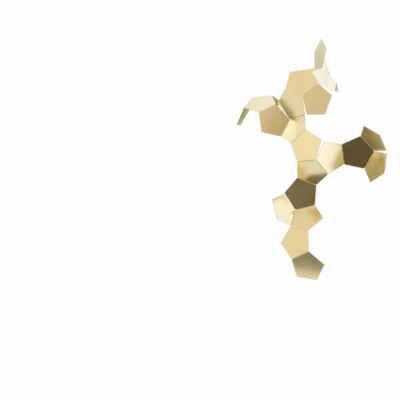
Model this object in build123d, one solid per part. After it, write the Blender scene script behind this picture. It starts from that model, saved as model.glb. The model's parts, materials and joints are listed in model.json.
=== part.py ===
from build123d import *
from math import cos, radians, sin, tan
import os

# A folding ornament made of one thin etched brass sheet. Five-sided facets are joined edge to edge
# in a branching chain by etched fold lines, and each one is folded against the next.
# It is drawn folded, as it stands on its three lowest corners. Unfolded, all facets lie in one plane.

# Driving dimensions, in millimetres
side = 20.0  # edge of a facet, from corner to corner along the fold lines
sheet = 0.3  # thickness of the brass
groove = 0.7  # width of an etched fold line
web = 0.12  # brass left where a fold line's web leaves the facet
edge_clearance = 0.05  # gap kept between two facets that close against each other
corner_round = 0.6  # radius of a facet's corners
web_end_gap = 1.2  # distance from a corner to the end of the web

# A facet has five corners, the first on its own +X axis, and edge n runs from corner n to corner n + 1.
corners = 5
corner_angle = 360 / corners
half_angle = corner_angle / 2
outer_radius = side / 2 / sin(radians(half_angle))
apothem = side / 2 / tan(radians(half_angle))

# Two facets folded down beside each other close like faces of a twelve-faced solid, and there
# the lower rim of each leans over the line between them by this share of half its thickness.
closed_lean_share = 0.5 / cos(radians(half_angle))
edge_trim = closed_lean_share * sheet / 2 + edge_clearance

# Each facet hangs from an edge of the facet named beside it, which was folded before it.
# The angle is the fold in degrees: positive bends it down, away from the side that shows.
hub = "hub"
fold_angles = {
    "neck": (hub, 0, 50),
    "right_shoulder": (hub, 4, 59),
    "tail_root": (hub, 2, -33),
    "fork": ("neck", 3, 31),
    "head_link": ("fork", 2, -55),
    "head": ("head_link", 2, 61),
    "head_cheek": ("head", 1, 57),
    "head_crown": ("head", 2, 49),
    "head_back": ("head_crown", 3, 43),
    "head_foot": ("head_back", 3, -50),
    "head_spike": ("head_back", 4, -50),
    "left_shoulder": ("fork", 3, -65),
    "left_arm": ("left_shoulder", 2, 56),
    "left_foot": ("left_arm", 2, 57),
    "left_hand": ("left_arm", 3, 62),
    "right_arm": ("right_shoulder", 2, -38),
    "right_low_tip": ("right_arm", 2, -55),
    "right_high_tip": ("right_arm", 3, -56),
    "tail_bend": ("tail_root", 3, -55),
    "tail_fin": ("tail_bend", 1, -62),
    "tail_link": ("tail_bend", 2, 37),
    "tail_end": ("tail_link", 3, 38),
    "tail_foot": ("tail_end", 4, 125),
}

# The lowest corners, counted on each facet, on which the folded ornament stands
foot_corners = {"head_foot": 2, "left_foot": 3, "tail_foot": 3}


def edge_angle(edge):
    return corner_angle * edge + half_angle


def folded_edges(name):
    edges = [edge for parent, edge, angle in fold_angles.values() if parent == name]
    return edges if name == hub else [0] + edges


def crossing(first_angle, first_distance, second_angle, second_distance):
    """Where two edges cross, given the direction and the distance of each from the centre."""
    first_angle = radians(first_angle)
    second_angle = radians(second_angle)
    across = first_distance * sin(second_angle) - second_distance * sin(first_angle)
    up = second_distance * cos(first_angle) - first_distance * cos(second_angle)
    return across / sin(second_angle - first_angle), up / sin(second_angle - first_angle)


def facet_outline(name):
    with_fold = folded_edges(name)
    distances = [apothem - (groove / 2 if edge in with_fold else edge_trim) for edge in range(corners)]
    points = [
        crossing(edge_angle(edge - 1), distances[edge - 1], edge_angle(edge), distances[edge])
        for edge in range(corners)
    ]
    outline = Polygon(*points, align=None)
    return fillet(outline.vertices(), corner_round)


def half_web(edge):
    """The facet's half of a fold line's web, thinned to nothing on the fold itself."""
    root = apothem - groove
    shoulder = apothem - groove / 2
    section = Polygon(
        (root, -web / 2),
        (shoulder, -web / 2),
        (apothem, 0),
        (shoulder, web / 2),
        (root, web / 2),
        align=None,
    )
    length = side - 2 * web_end_gap
    return Rot(0, 0, edge_angle(edge)) * extrude(Plane.XZ * section, length / 2, both=True)


def facet(name):
    plate = extrude(facet_outline(name), sheet / 2, both=True)
    for edge in folded_edges(name):
        plate += half_web(edge)
    return plate


def facet_places():
    """Where each facet lies, seen from the hub, after every fold before it has been made."""
    places = {hub: Location()}
    for name, (parent, edge, angle) in fold_angles.items():
        to_fold = Rot(0, 0, edge_angle(edge)) * Pos(apothem, 0, 0)
        past_fold = Pos(apothem, 0, 0) * Rot(0, 0, 180 - edge_angle(0))
        places[name] = places[parent] * to_fold * Rot(0, angle, 0) * past_fold
    return places


def corner_point(place, corner):
    on_facet = Rot(0, 0, corner_angle * corner) * Pos(outer_radius, 0, 0)
    return (place * on_facet).position


def table_place(places):
    """The tabletop under the three feet, with +Y from the tail's foot towards the head's."""
    head, left, tail = [corner_point(places[name], corner) for name, corner in foot_corners.items()]
    up = (left - head).cross(tail - left).normalized()
    forward = (head - tail).normalized()
    return Plane(origin=tail, x_dir=forward.cross(up), z_dir=up).location


def standing_places():
    """Each facet's place on the table, with the origin under the middle of the whole ornament."""
    places = facet_places()
    to_table = table_place(places).inverse()
    on_table = {name: to_table * place for name, place in places.items()}
    box = Compound([place * facet(name) for name, place in on_table.items()]).bounding_box()
    middle = box.center()
    to_middle = Pos(-middle.X, -middle.Y, -box.min.Z)
    return {name: to_middle * place for name, place in on_table.items()}


standing = standing_places()
os.makedirs("parts", exist_ok=True)
for name, place in standing.items():
    export_step(place * facet(name), "parts/" + name + ".step")
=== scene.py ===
import bpy
import json
from math import cos, radians, sin, sqrt, tan
from mathutils import Matrix, Quaternion, Vector

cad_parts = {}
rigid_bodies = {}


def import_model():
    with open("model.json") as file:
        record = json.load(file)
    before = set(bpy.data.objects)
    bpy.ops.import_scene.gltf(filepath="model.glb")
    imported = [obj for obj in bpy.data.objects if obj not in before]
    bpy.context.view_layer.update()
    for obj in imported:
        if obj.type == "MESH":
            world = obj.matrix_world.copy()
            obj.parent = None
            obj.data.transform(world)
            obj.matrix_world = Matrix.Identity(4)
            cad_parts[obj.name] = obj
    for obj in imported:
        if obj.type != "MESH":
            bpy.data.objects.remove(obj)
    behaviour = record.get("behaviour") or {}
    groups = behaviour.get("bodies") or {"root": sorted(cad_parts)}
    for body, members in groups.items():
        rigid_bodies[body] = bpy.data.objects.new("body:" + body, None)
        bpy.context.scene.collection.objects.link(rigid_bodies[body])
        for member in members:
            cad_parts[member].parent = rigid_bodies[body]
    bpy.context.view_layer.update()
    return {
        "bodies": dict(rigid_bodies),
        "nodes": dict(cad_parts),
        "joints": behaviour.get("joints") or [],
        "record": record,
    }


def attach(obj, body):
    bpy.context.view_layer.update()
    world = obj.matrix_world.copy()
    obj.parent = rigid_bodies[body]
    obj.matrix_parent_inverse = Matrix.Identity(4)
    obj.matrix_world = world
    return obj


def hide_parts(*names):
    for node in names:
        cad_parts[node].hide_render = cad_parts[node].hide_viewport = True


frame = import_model()
print("frame loaded,", len(frame["nodes"]), "facets")


def deselectAll():
    if bpy.context.object and bpy.context.object.mode != "OBJECT":
        bpy.ops.object.mode_set(mode="OBJECT")
    bpy.ops.object.select_all(action="DESELECT")


def makeActive(piece):
    deselectAll()
    piece.select_set(True)
    bpy.context.view_layer.objects.active = piece


# The brass sheet as it comes out of the etching bath, in metres

sheetStock = {
    "thickness": 0.0003,
    "grooveWidth": 0.0007,     # a fold line, from facet to facet
    "webThickness": 0.00012,   # brass left under a fold line
    "freeEdgeTrim": 0.000143,  # gone from an edge that has no fold
    "cornerRadius": 0.0006,
    "cornerSteps": 5,
    "webEndGap": 0.0012,       # from a corner to the end of a web
    "rimWidth": 0.00026,       # the band that the etch softens along each edge
    "rimBevel": 0.00004,
    "rimBevelSteps": 2,
    "sharpAngle": 40,          # degrees between two faces from which their edge is bevelled
    "smoothAngle": 50,         # and up to which it is shaded smooth
    "ownWebShare": 0.9,        # a facet's web lies inside its neighbour's on the fold that it hangs from
}
grooveSteps = [(0.1, 0.45), (0.15, 0.35), (0.2, 0.2)]  # shares of the half groove, and of its depth
webEndSteps = [(0.7, 0.75), (0.3, 0.35)]  # shares of the web's half thickness, and of its height


# Where the facets lie: the hub from its own mount, each other one from the hinge it hangs on

corners = 5
cornerAngle = radians(360 / corners)
halfAngle = cornerAngle / 2


def edgeAngle(edge):
    return cornerAngle * edge + halfAngle


def flatDirection(angle):
    return Vector((cos(angle), sin(angle), 0))


startFacet = "hub"


def readStart():
    front = next(m for m in frame["record"]["mounts"] if m["name"] == startFacet + "_front")
    normal = Vector(front["axis"]).normalized()
    return Vector(front["pos_m"]) - normal * sheetStock["thickness"] / 2, normal


def placeOf(centre, normal, firstEdge):
    # in a facet's own frame +Z is the side that shows, and firstEdge points at edge 0
    cornerZero = Quaternion(normal, -halfAngle) @ firstEdge
    across = normal.cross(cornerZero)
    return Matrix.Translation(centre) @ Matrix((cornerZero, across, normal)).transposed().to_4x4()


def readFacets():
    centre, normal = readStart()
    hinges = frame["joints"]
    firstHinge = next(hinge for hinge in hinges if startFacet in (hinge["parent"], hinge["child"]))
    toEdge = Vector(firstHinge["pos_m"]) - centre
    apothem = toEdge.length
    start = placeOf(centre, normal, toEdge.normalized())
    facets = {startFacet: {"place": start, "flat": Matrix.Identity(4), "folded": []}}
    while len(facets) < len(frame["bodies"]):
        for hinge in hinges:
            # a hinge may hold its two facets in either order
            parent, child = hinge["parent"], hinge["child"]
            for known, new, way in ((parent, child, 1), (child, parent, -1)):
                if known in facets and new not in facets:
                    facets[new] = nextFacet(facets[known], hinge, way, apothem)
    return apothem, facets


def nextFacet(known, hinge, way, apothem):
    hingePoint = Vector(hinge["pos_m"])
    local = known["place"].inverted() @ hingePoint
    edge = round((local.to_2d().angle_signed(Vector((1, 0))) - halfAngle) / cornerAngle) % corners
    known["folded"].append(edge)
    turn = Quaternion(Vector(hinge["axis"]) * way, radians(-hinge["range_deg"][0]))
    outward = turn @ (hingePoint - known["place"].translation).normalized()
    normal = turn @ known["place"].to_3x3().col[2]
    return {
        "place": placeOf(hingePoint + outward * apothem, normal, -outward),
        "flat": known["flat"] @ flatStep(edge, apothem),
        "folded": [0],
    }


def flatStep(edge, apothem):
    # from a facet to its neighbour across an edge, before any fold is made
    across = Matrix.Translation(Vector((2 * apothem, 0, 0)))
    back = Matrix.Rotation(radians(180) - halfAngle, 4, "Z")
    return Matrix.Rotation(edgeAngle(edge), 4, "Z") @ across @ back


apothem, facets = readFacets()
print("facets placed, side", round(2 * apothem * tan(halfAngle) * 1000, 3), "mm")


# One facet, cut and etched from flat stock

squarely = 0.999  # a face with this much of its normal in a direction faces that way


def selectFaces(piece, wanted):
    for vertex in piece.data.vertices:
        vertex.select = False
    for edge in piece.data.edges:
        edge.select = False
    for face in piece.data.polygons:
        face.select = wanted(face)


def cutOutline(folded):
    stock = sheetStock
    thickness = stock["thickness"]
    deselectAll()
    # the circle's first corner points along +Y, and a facet's along +X
    bpy.ops.mesh.primitive_circle_add(
        vertices=corners, radius=apothem / cos(halfAngle), fill_type="NGON",
        location=(0, 0, -thickness / 2), rotation=(0, 0, radians(-90)))
    facet = bpy.context.object
    bpy.ops.object.transform_apply(location=True, rotation=True, scale=True)
    bpy.ops.object.mode_set(mode="EDIT")
    for edge in range(corners):
        gone = stock["grooveWidth"] / 2 if edge in folded else stock["freeEdgeTrim"]
        outward = flatDirection(edgeAngle(edge))
        bpy.ops.mesh.select_all(action="SELECT")
        bpy.ops.mesh.bisect(plane_co=outward * (apothem - gone), plane_no=outward, clear_outer=True)
    bpy.ops.mesh.select_all(action="SELECT")
    bpy.ops.mesh.bevel(affect="VERTICES", offset=stock["cornerRadius"] * tan(halfAngle),
                       segments=stock["cornerSteps"])
    bpy.ops.mesh.select_all(action="SELECT")
    bpy.ops.mesh.extrude_region_move(TRANSFORM_OT_translate={"value": (0, 0, thickness)})
    bpy.ops.mesh.select_all(action="SELECT")
    bpy.ops.mesh.normals_make_consistent(inside=False)
    bpy.ops.object.mode_set(mode="OBJECT")
    return facet


def pullEdge(run, reached, narrow, height):
    # draws the picked wall out along +X, then scales it along and across the edge
    bpy.ops.mesh.extrude_region_move(TRANSFORM_OT_translate={"value": (run, 0, 0)})
    bpy.ops.transform.resize(value=(1, narrow, height), center_override=(reached + run, 0, 0))
    return reached + run


def etchHalfGroove(facet, edge, webThickness):
    stock = sheetStock
    halfGroove = stock["grooveWidth"] / 2
    outward = flatDirection(edgeAngle(edge))
    makeActive(facet)
    facet.rotation_euler.z = -edgeAngle(edge)
    bpy.context.view_layer.update()
    wallStart = apothem - halfGroove
    selectFaces(facet, lambda face: face.normal.dot(outward) > squarely
                and face.center.dot(outward) > wallStart - stock["rimWidth"])
    bpy.ops.object.mode_set(mode="EDIT")
    bpy.ops.mesh.select_mode(type="FACE")
    wallLength = 2 * (wallStart - stock["cornerRadius"]) * tan(halfAngle)
    webLength = 2 * (apothem * tan(halfAngle) - stock["webEndGap"])
    narrow = (webLength / wallLength) ** (1 / len(grooveSteps))
    reached = wallStart
    height = stock["thickness"]
    depth = height - webThickness
    for run, drop in grooveSteps:
        lower = height - depth * drop
        reached = pullEdge(run * halfGroove, reached, narrow, lower / height)
        height = lower
    reached = pullEdge(apothem - reached, reached, 1, 1)
    for run, left in webEndSteps:
        reached = pullEdge(run * webThickness / 2, reached, 1, left)
    bpy.ops.object.mode_set(mode="OBJECT")
    facet.rotation_euler.z = 0
    bpy.context.view_layer.update()


def isBroadFace(face):
    return abs(face.normal.z) > squarely and face.area > apothem ** 2


def softenRim(facet):
    stock = sheetStock
    makeActive(facet)
    selectFaces(facet, isBroadFace)
    bpy.ops.object.mode_set(mode="EDIT")
    bpy.ops.mesh.select_mode(type="FACE")
    bpy.ops.mesh.inset(thickness=stock["rimWidth"], use_individual=True)
    bpy.ops.object.mode_set(mode="OBJECT")
    for face in facet.data.polygons:
        face.material_index = 0 if isBroadFace(face) else 1
    bevel = facet.modifiers.new("rim", "BEVEL")
    bevel.width = stock["rimBevel"]
    bevel.segments = stock["rimBevelSteps"]
    bevel.limit_method = "ANGLE"
    bevel.angle_limit = radians(stock["sharpAngle"])
    bpy.ops.object.modifier_apply(modifier="rim")
    bpy.ops.object.shade_smooth_by_angle(angle=radians(stock["smoothAngle"]))


blanks = {}


def facetBlank(name):
    # facets with the same fold lines are cut alike, so each kind is made once and copied
    folded = tuple(sorted(facets[name]["folded"]))
    kind = (folded, name == startFacet)
    if kind not in blanks:
        facet = cutOutline(folded)
        for edge in folded:
            hangsHere = edge == 0 and name != startFacet
            share = sheetStock["ownWebShare"] if hangsHere else 1
            etchHalfGroove(facet, edge, sheetStock["webThickness"] * share)
        softenRim(facet)
        facet.name = "blank" + str(len(blanks))
        blanks[kind] = facet
    return blanks[kind]


# Brass

brassLook = {
    "paleTone": (0.895, 0.76, 0.43),
    "warmTone": (0.875, 0.73, 0.39),
    "toneBlend": (0.35, 0.65),  # where in a patch the warm tone ends and the pale one starts
    "etchedTone": (0.9, 0.79, 0.5),
    "etchedBlend": (0.3, 0.55),
    "coat": 1,                  # a clear coat, which pales the sheet at a grazing angle
    "coatIor": 1.55,
    "coatRoughness": 0.2,
    "patchScale": 90,           # patches of tone, about 11 mm across
    "patchDetail": 4,
    "patchRoughness": 0.015,    # how much rougher or smoother a patch is
    "grainAlong": 60,           # rolling grain, to a tenth of a metre of the sheet
    "grainAcross": 5200,
    "grainDetail": 3,
    "grainDepth": 0.0000035,
    "smoothest": 0.16,
    "roughest": 0.22,
    "waveScale": 24,            # slow waves in the stock, about 42 mm from crest to crest
    "waveDetail": 0,
    "waveShift": (1.1, 0.2, 0.6),
    "waveDepth": 0.00025,
    "bowUnit": 0.001,           # the map of the bows counts its heights in millimetres
    "pitScale": 9000,           # fine pits of the etch, about a tenth of a millimetre across
    "pitDetail": 2,
    "pitDepth": 0.000012,
    "pitRoughness": (0.41, 0.52),
}
noiseSpan = (0.3, 0.7)  # nearly all of a noise's values lie in here


def vectorMath(nodes, links, operation, *values):
    step = nodes.new("ShaderNodeVectorMath")
    step.operation = operation
    for socket, value in zip(step.inputs, values):
        if isinstance(value, tuple):
            socket.default_value = value
        else:
            links.new(value, socket)
    return step.outputs["Value" if operation in ("DOT_PRODUCT", "LENGTH") else "Vector"]


def combine(nodes, links, operation, first, second):
    both = nodes.new("ShaderNodeMath")
    both.operation = operation
    links.new(first, both.inputs[0])
    links.new(second, both.inputs[1])
    return both.outputs["Value"]


def startMaterial(name):
    material = bpy.data.materials.new(name)
    material.use_nodes = True
    nodes = material.node_tree.nodes
    shader = nodes["Principled BSDF"]
    shader.inputs["Metallic"].default_value = 1
    return material, nodes, material.node_tree.links, shader


def addNoise(nodes, links, vector, scale, detail):
    noise = nodes.new("ShaderNodeTexNoise")
    noise.inputs["Scale"].default_value = scale
    noise.inputs["Detail"].default_value = detail
    links.new(vector, noise.inputs["Vector"])
    return noise.outputs["Fac"]


def spreadNoise(nodes, links, noise, low, high):
    spread = nodes.new("ShaderNodeMapRange")
    for socket, value in zip(("From Min", "From Max", "To Min", "To Max"), (*noiseSpan, low, high)):
        spread.inputs[socket].default_value = value
    links.new(noise, spread.inputs["Value"])
    return spread.outputs["Result"]


def blendTones(nodes, links, noise, span, first, second):
    ramp = nodes.new("ShaderNodeValToRGB")
    for stop, position, tone in zip(ramp.color_ramp.elements, span, (first, second)):
        stop.position = position
        stop.color = (*tone, 1)
    links.new(noise, ramp.inputs["Fac"])
    return ramp.outputs["Color"]


def addBump(nodes, links, height, distance, normal=None):
    bump = nodes.new("ShaderNodeBump")
    bump.inputs["Distance"].default_value = distance
    links.new(height, bump.inputs["Height"])
    if normal:
        links.new(normal, bump.inputs["Normal"])
    return bump.outputs["Normal"]


def bowHeight(nodes, links):
    # the map "bow" holds the root of a swell's height in U, and of a dip's depth in V
    onFacet = nodes.new("ShaderNodeUVMap")
    onFacet.uv_map = "bow"
    squared = vectorMath(nodes, links, "MULTIPLY", onFacet.outputs["UV"], onFacet.outputs["UV"])
    return vectorMath(nodes, links, "DOT_PRODUCT", squared, (1, -1, 0))


def rolledBrass():
    # satin sheet: fine grain along the roll, faint patches of tone and a slow waviness
    look = brassLook
    material, nodes, links, shader = startMaterial("rolled_brass")
    place = nodes.new("ShaderNodeTexCoord").outputs["Object"]
    onSheet = nodes.new("ShaderNodeUVMap")
    onSheet.uv_map = "sheet"
    stretch = nodes.new("ShaderNodeMapping")
    stretch.inputs["Scale"].default_value = (look["grainAlong"], look["grainAcross"], 1)
    links.new(onSheet.outputs["UV"], stretch.inputs["Vector"])
    grain = addNoise(nodes, links, stretch.outputs["Vector"], 1, look["grainDetail"])
    patches = addNoise(nodes, links, place, look["patchScale"], look["patchDetail"])
    tone = blendTones(nodes, links, patches, look["toneBlend"], look["warmTone"], look["paleTone"])
    links.new(tone, shader.inputs["Base Color"])
    fromGrain = spreadNoise(nodes, links, grain, look["smoothest"], look["roughest"])
    fromPatches = spreadNoise(nodes, links, patches, -look["patchRoughness"], look["patchRoughness"])
    links.new(combine(nodes, links, "ADD", fromGrain, fromPatches), shader.inputs["Roughness"])
    shader.inputs["Coat Weight"].default_value = look["coat"]
    shader.inputs["Coat IOR"].default_value = look["coatIor"]
    shader.inputs["Coat Roughness"].default_value = look["coatRoughness"]
    shift = vectorMath(nodes, links, "ADD", place, look["waveShift"])
    bow = addBump(nodes, links, bowHeight(nodes, links), look["bowUnit"])
    slowNoise = addNoise(nodes, links, shift, look["waveScale"], look["waveDetail"])
    waves = addBump(nodes, links, slowNoise, look["waveDepth"], bow)
    links.new(addBump(nodes, links, grain, look["grainDepth"], waves), shader.inputs["Normal"])
    return material


def etchedBrass():
    # the grooves, webs and rims, left matt and finely pitted
    look = brassLook
    material, nodes, links, shader = startMaterial("etched_brass")
    place = nodes.new("ShaderNodeTexCoord").outputs["Object"]
    pits = addNoise(nodes, links, place, look["pitScale"], look["pitDetail"])
    tone = blendTones(nodes, links, pits, look["etchedBlend"], look["warmTone"], look["etchedTone"])
    links.new(tone, shader.inputs["Base Color"])
    links.new(spreadNoise(nodes, links, pits, *look["pitRoughness"]), shader.inputs["Roughness"])
    links.new(addBump(nodes, links, pits, look["pitDepth"]), shader.inputs["Normal"])
    return material


finishes = [rolledBrass(), etchedBrass()]
print("brass mixed")


# Folding by hand leaves each facet a little bowed: which way across it, in degrees from its first
# corner, and its slope in degrees at the near and at the far side. The numbers weren't measured: a
# separate program fitted them to the facets' tones in the photo, with what the brass mirrors.

straight = (0, 0, 0.01)  # the slopes differ a little, as the height between equal ones has no crest
bows = {
    "hub": (36, 3.7, -5.8),
    "neck": (112, 0.8, 1.0),
    "right_shoulder": (122, -0.9, -1.2),
    "tail_root": (144, 0.4, 2.0),
    "fork": (32, -2.8, -0.4),
    "head_link": (4, 2.2, -0.3),
    "head_cheek": (6, 0.3, 0.7),
    "head_crown": (79, -0.6, -0.4),
    "head_foot": (160, 0.1, 0.3),
    "head_spike": (128, 0.1, -1.4),
    "left_shoulder": (30, 3.0, -2.2),
    "left_arm": (35, -1.4, 0.3),
    "left_hand": (125, 0.7, -2.6),
    "right_arm": (179, 2.1, 1.4),
    "right_low_tip": (78, 2.7, 1.1),
    "right_high_tip": (37, 2.1, -3.5),
    "tail_bend": (96, -0.3, 3.4),
    "tail_fin": (129, -1.5, 4.3),
    "tail_link": (157, 0.7, 0.9),
    "tail_end": (177, 2.7, -5.7),
}


# Every facet: a copy of its blank, marked with its place on the flat sheet, then put where it belongs

sheetMapScale = 10  # a tenth of a metre to a unit


def markSheet(piece, flat):
    # the map follows the unfolded sheet, so the grain runs on over folds
    layer = piece.data.uv_layers.new(name="sheet")
    for loop in piece.data.loops:
        spot = flat @ piece.data.vertices[loop.vertex_index].co * sheetMapScale
        layer.data[loop.index].uv = spot.xy


def markBow(piece, direction, nearSlope, farSlope):
    # the slope changes steadily from one side of the facet to the other, so the height is a square
    near, far = tan(radians(nearSlope)), tan(radians(farSlope))
    along = flatDirection(radians(direction))
    crest = -apothem * (far + near) / (far - near)
    rootPerMetre = sqrt(abs(far - near) / (4 * apothem * brassLook["bowUnit"]))
    swells = far > near
    layer = piece.data.uv_layers.new(name="bow")
    for face in piece.data.polygons:
        upper = face.normal.z > 0
        for corner in face.loop_indices:
            spot = piece.data.vertices[piece.data.loops[corner].vertex_index].co
            root = (spot.dot(along) - crest) * rootPerMetre
            layer.data[corner].uv = (root, 0) if swells == upper else (0, root)


def makeFacet(name):
    piece = facetBlank(name).copy()
    piece.data = piece.data.copy()
    piece.name = name + "_facet"
    bpy.context.scene.collection.objects.link(piece)
    for finish in finishes:
        piece.data.materials.append(finish)
    markSheet(piece, facets[name]["flat"])
    markBow(piece, *bows.get(name, straight))
    piece.matrix_world = facets[name]["place"]
    makeActive(piece)
    bpy.ops.object.transform_apply(location=True, rotation=True, scale=True)
    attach(piece, name)
    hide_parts(name)
    return piece


for name in facets:
    makeFacet(name)
for blank in blanks.values():
    bpy.data.objects.remove(blank)
print("facets folded:", len(facets), "from", len(blanks), "kinds of blank")


# Table, studio and camera

# most values for what the brass mirrors, and the lamp's, were fitted by that program too
studio = {
    "floorSize": 6,
    "floorTone": (0.86, 0.86, 0.86),
    "floorRoughness": 0.8,
    "floorLift": 0.98,              # how far the camera sees the table burnt out to white
    "sheenLift": 0.96,              # and how far the brass sees it in the painted light and shade below, the rest being its real shading
    # painted light and shade on the table, emitted only for the rays that the brass and glass mirror
    "nearShadeTone": (0.686, 0.677, 0.655),
    "farTone": (0.934, 0.933, 0.975),
    "farFrom": 0.104,               # metres from the middle, where the painted shade near the ornament gives way to the paler far tone
    "farTo": 0.186,
    "daylitTone": (1.033, 1.129, 1.426),
    "daylitFrom": 0.062,            # metres from the middle towards the window, where the painted pool of daylight begins and where it is full
    "daylitTo": 0.093,
    "daylitSide": (0.707, 0.707, 0),
    "shadeTone": (0.372, 0.342, 0.174),  # painted shade close under the brass
    "shadeReach": 0.2,
    "shadeFrom": 0.49,              # share of open sky at which the painted shade is deepest, and at which it is gone
    "shadeTo": 0.76,
    "room": (0.874, 0.822, 0.730),
    # heading clockwise from +Y, height, degrees to where it starts to fade and to where it ends, colour
    "panels": [
        (258, 73, 18, 44, (0.269, 0.374, 0.528)),  # the tent's lit roof
        (72, 18, 18, 34, (0.423, 0.668, 1.313)),  # daylight from a low window
    ],
    "openings": [
        (210, 58, 9, 41, (0.096, 0.079, 0.042)),  # the tent's open side
        (206, 11, 7, 25, (0.170, 0.192, 0.181)),  # and its dark foot
        (109, 51, 8, 30, (0.470, 0.372, 0.237)),  # a gap between two sheets of the tent
    ],
    "lampSize": 0.45,
    "lampPower": 0.97,
    "lampTone": (0.17, 0.39, 1.00),
    "lampHeading": 308,
    "lampHeight": 42,
    "lampDistance": 1.4,
}

cameraSet = {
    "aim": (-0.1003, -0.0494, 0),  # the point of the table in the middle of the picture
    "heading": -10.08,             # degrees clockwise from +Y, seen from above
    "height": 72.36,
    "roll": -2.62,
    "distance": 1.4703,
    "lens": 133.9,
    "nearest": 0.01,
}


def towards(heading, height):
    # the direction in the sky at a heading clockwise from +Y and a height above the table
    flat = cos(radians(height))
    return Vector((sin(radians(heading)) * flat, cos(radians(heading)) * flat, sin(radians(height))))


def seenBy(nodes, links, *rays):
    # 1 for the named kinds of ray, else 0
    path = nodes.new("ShaderNodeLightPath")
    total = path.outputs[rays[0]]
    for ray in rays[1:]:
        total = combine(nodes, links, "MAXIMUM", total, path.outputs[ray])
    return total


def smoothRange(nodes, links, value, start, end):
    # 0 up to the start, 1 from the end on
    ease = nodes.new("ShaderNodeMapRange")
    ease.interpolation_type = "SMOOTHSTEP"
    ease.inputs["From Min"].default_value = start
    ease.inputs["From Max"].default_value = end
    links.new(value, ease.inputs["Value"])
    return ease.outputs["Result"]


def patchOfSky(nodes, links, sky, heading, height, core, rim):
    # 1 at a place in the sky, fading to 0 at its rim
    nearness = vectorMath(nodes, links, "DOT_PRODUCT", sky, tuple(towards(heading, height)))
    return smoothRange(nodes, links, nearness, cos(radians(rim)), cos(radians(core)))


def mixColours(nodes, links, share, first, second):
    mix = nodes.new("ShaderNodeMix")
    mix.data_type = "RGBA"
    mix.clamp_result = False
    links.new(share, mix.inputs["Factor"])
    # the sockets for colours come after those for numbers and for vectors, and share their names
    for socket, colour in ((mix.inputs[6], first), (mix.inputs[7], second)):
        if isinstance(colour, tuple):
            socket.default_value = (*colour, 1)
        else:
            links.new(colour, socket)
    return mix.outputs[2]


def mirroredTable(nodes, links):
    # the table as the brass sees it, in painted light and shade: painted shade near the middle fading to a
    # paler tone far off, a painted pool of window light, and painted shade close under the ornament
    place = nodes.new("ShaderNodeTexCoord").outputs["Object"]
    away = vectorMath(nodes, links, "LENGTH", place)
    far = smoothRange(nodes, links, away, studio["farFrom"], studio["farTo"])
    tone = mixColours(nodes, links, far, studio["nearShadeTone"], studio["farTone"])
    towardsWindow = vectorMath(nodes, links, "DOT_PRODUCT", place, studio["daylitSide"])
    daylit = smoothRange(nodes, links, towardsWindow, studio["daylitFrom"], studio["daylitTo"])
    tone = mixColours(nodes, links, daylit, tone, studio["daylitTone"])
    sky = nodes.new("ShaderNodeAmbientOcclusion")
    sky.inputs["Distance"].default_value = studio["shadeReach"]
    clear = smoothRange(nodes, links, sky.outputs["AO"], studio["shadeFrom"], studio["shadeTo"])
    return mixColours(nodes, links, clear, studio["shadeTone"], tone)


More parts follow.
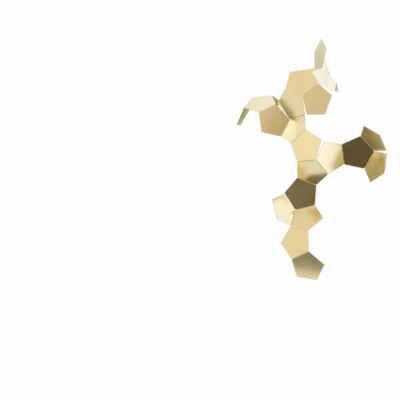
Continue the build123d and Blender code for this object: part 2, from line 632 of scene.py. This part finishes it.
def layTable():
    deselectAll()
    bpy.ops.mesh.primitive_plane_add(size=studio["floorSize"], location=(0, 0, 0))
    table = bpy.context.object
    table.name = "table"
    material = bpy.data.materials.new("white_table")
    material.use_nodes = True
    nodes, links = material.node_tree.nodes, material.node_tree.links
    shader = nodes["Principled BSDF"]
    shader.inputs["Base Color"].default_value = (*studio["floorTone"], 1)
    shader.inputs["Roughness"].default_value = studio["floorRoughness"]
    fromBrass = seenBy(nodes, links, "Is Glossy Ray", "Is Transmission Ray")
    white = nodes.new("ShaderNodeEmission")
    # the camera sees plain white, while the brass and glass see the painted light and shade of mirroredTable
    tone = mixColours(nodes, links, fromBrass, (1, 1, 1), mirroredTable(nodes, links))
    links.new(tone, white.inputs["Color"])
    fromCamera = seenBy(nodes, links, "Is Camera Ray")
    lift = nodes.new("ShaderNodeMath")
    lift.operation = "MULTIPLY"
    lift.inputs[1].default_value = studio["floorLift"]
    links.new(fromCamera, lift.inputs[0])
    sheen = nodes.new("ShaderNodeMath")
    sheen.operation = "MULTIPLY_ADD"
    sheen.inputs[1].default_value = studio["sheenLift"]
    links.new(fromBrass, sheen.inputs[0])
    links.new(lift.outputs["Value"], sheen.inputs[2])
    mix = nodes.new("ShaderNodeMixShader")
    links.new(sheen.outputs["Value"], mix.inputs["Fac"])
    links.new(shader.outputs["BSDF"], mix.inputs[1])
    links.new(white.outputs["Emission"], mix.inputs[2])
    links.new(mix.outputs["Shader"], nodes["Material Output"].inputs["Surface"])
    table.data.materials.append(material)


def raiseTent():
    # a white surround, with soft dark openings where the room shows through
    world = bpy.data.worlds.new("white_tent")
    world.use_nodes = True
    bpy.context.scene.world = world
    nodes, links = world.node_tree.nodes, world.node_tree.links
    background = nodes["Background"]
    sky = nodes.new("ShaderNodeTexCoord").outputs["Generated"]
    light = studio["room"]
    for panel in studio["panels"]:
        patch = patchOfSky(nodes, links, sky, *panel[:4])
        light = vectorMath(nodes, links, "MULTIPLY_ADD", patch, panel[4], light)
    for opening in studio["openings"]:
        patch = patchOfSky(nodes, links, sky, *opening[:4])
        dimmed = vectorMath(nodes, links, "MULTIPLY", light, opening[4])
        light = mixColours(nodes, links, patch, light, dimmed)
    light = mixColours(nodes, links, seenBy(nodes, links, "Is Camera Ray"), light, (1, 1, 1))
    links.new(light, background.inputs["Color"])


def hangLamp():
    deselectAll()
    place = towards(studio["lampHeading"], studio["lampHeight"]) * studio["lampDistance"]
    bpy.ops.object.light_add(type="AREA", location=place)
    lamp = bpy.context.object
    lamp.name = "soft_lamp"
    lamp.data.shape = "DISK"
    lamp.data.size = studio["lampSize"]
    lamp.data.energy = studio["lampPower"]
    lamp.data.color = studio["lampTone"]
    lamp.rotation_euler = place.to_track_quat("Z", "Y").to_euler()


def setCamera():
    deselectAll()
    back = -towards(cameraSet["heading"], -cameraSet["height"])
    roll = Quaternion((0, 0, 1), radians(cameraSet["roll"]))
    turn = back.to_track_quat("Z", "Y") @ roll
    bpy.ops.object.camera_add(location=Vector(cameraSet["aim"]) + back * cameraSet["distance"],
                              rotation=turn.to_euler())
    camera = bpy.context.object
    camera.data.lens = cameraSet["lens"]
    camera.data.clip_start = cameraSet["nearest"]
    bpy.context.scene.camera = camera


layTable()
raiseTent()
hangLamp()
setCamera()
bpy.context.scene.view_settings.view_transform = "Standard"
print("studio ready")
